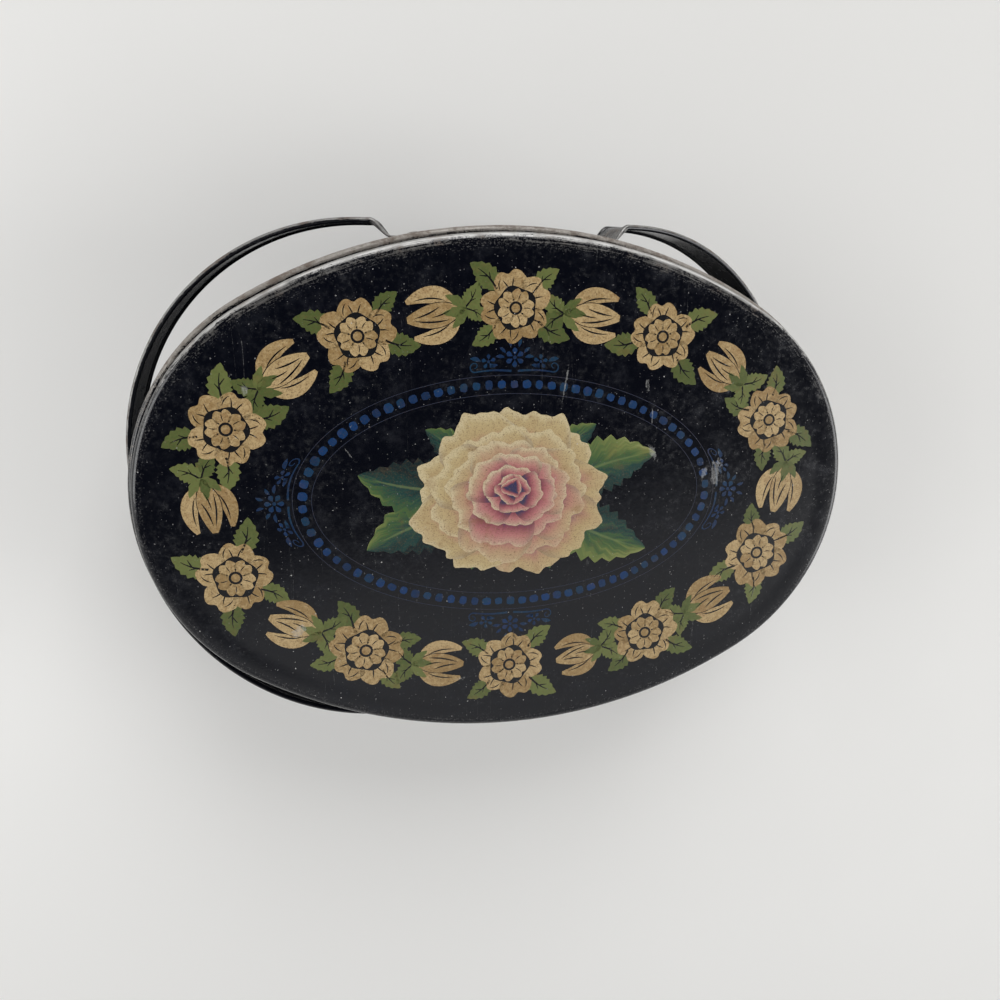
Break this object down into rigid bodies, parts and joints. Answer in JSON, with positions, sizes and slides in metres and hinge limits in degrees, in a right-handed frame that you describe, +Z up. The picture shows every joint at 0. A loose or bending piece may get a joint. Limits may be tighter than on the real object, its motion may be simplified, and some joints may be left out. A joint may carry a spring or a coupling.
{
  "type": "oval sewing tin",
  "caption": "Oval tinplate sewing tin with a slip-over lid, a seamed base and strap bail handles that swing on rivets and meet above the lid to carry it.",
  "frame": {"origin": "centre of the base, on the surface that the seam stands on", "axes": "+Z up through the lid, X along the oval with the right handle at +X, Y across the oval with the front rivets at -Y"},
  "size_m": [0.2957, 0.2074, 0.112],
  "materials": {
    "lid_paint": "worn gloss black with a printed flower design",
    "wall_paint": "worn gloss black",
    "handle_paint": "worn gloss black, rubbed along the hems",
    "tinplate": "dull tinplate with rust",
    "rivet_steel": "dull steel"
  },
  "bodies": {
    "tin": {"body_wall": "wall_paint", "base_plate": "tinplate", "rivet_left_front": "rivet_steel", "rivet_left_back": "rivet_steel", "rivet_right_front": "rivet_steel", "rivet_right_back": "rivet_steel", "washer_left_front": "rivet_steel", "washer_left_back": "rivet_steel", "washer_right_front": "rivet_steel", "washer_right_back": "rivet_steel"},
    "lid": {"lid": "lid_paint"},
    "handle_left": {"handle_left": "handle_paint"},
    "handle_right": {"handle_right": "handle_paint"}
  },
  "joints": [
    {"name": "lid_lift", "type": "slide", "parent": "tin", "child": "lid", "axis": [0, 0, 1], "range_m": [0, 0.12]},
    {"name": "left_bail", "type": "hinge", "parent": "tin", "child": "handle_left", "pos_m": [-0.03353, 0, 0.0804], "axis": [0, 1, 0], "range_deg": [-9, 111]},
    {"name": "right_bail", "type": "hinge", "parent": "tin", "child": "handle_right", "pos_m": [0.03353, 0, 0.0804], "axis": [0, -1, 0], "range_deg": [0, 120]}
  ]
}
